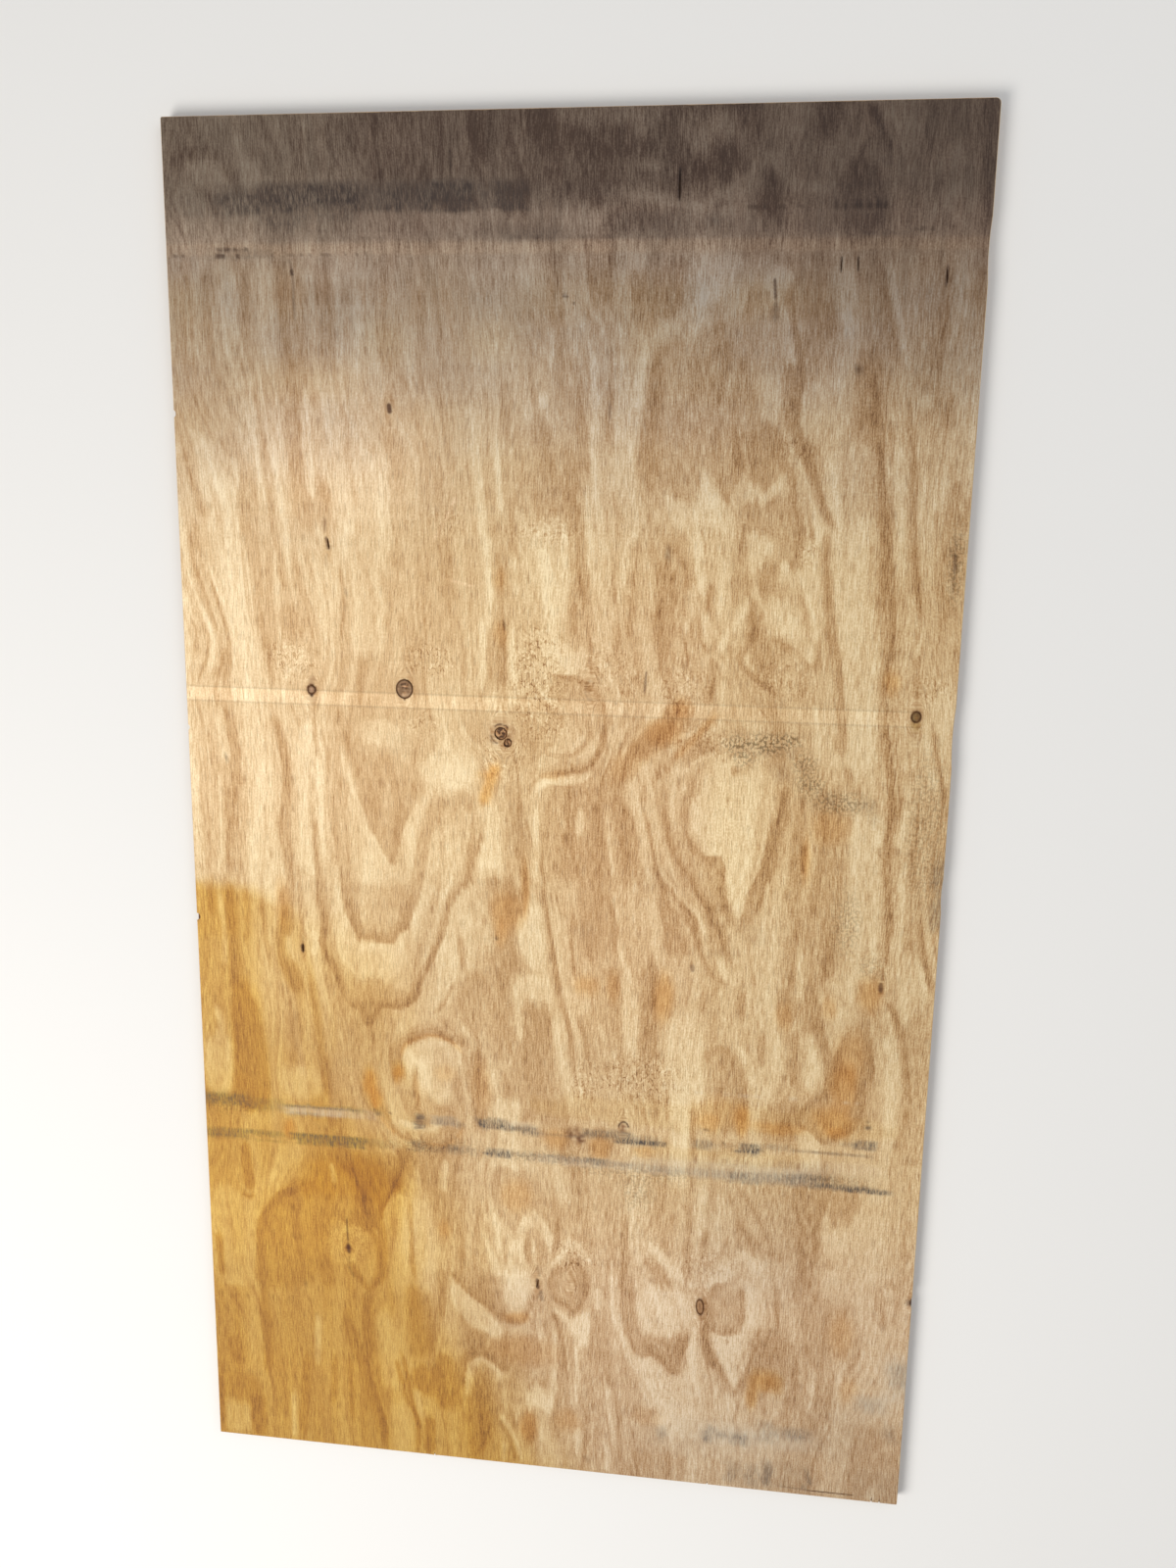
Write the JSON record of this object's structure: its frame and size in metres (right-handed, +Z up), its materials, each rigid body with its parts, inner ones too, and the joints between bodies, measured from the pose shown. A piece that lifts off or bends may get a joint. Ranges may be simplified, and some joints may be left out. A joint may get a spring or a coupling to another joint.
{
  "type": "plywood sheet",
  "caption": "Flat softwood plywood sheet with long face grain, tight and broken knots, open splits, chipped and sawn edges and weather stains.",
  "frame": {"origin": "on the back face, under the middle of the sheet", "axes": "+X across the sheet, +Y along its length and the grain of the face veneer, +Z up out of the best face"},
  "size_m": [0.915, 1.677, 0.018],
  "materials": {
    "pine_plywood": "matte"
  },
  "bodies": {
    "root": {"plywood_sheet": "pine_plywood"}
  },
  "joints": []
}
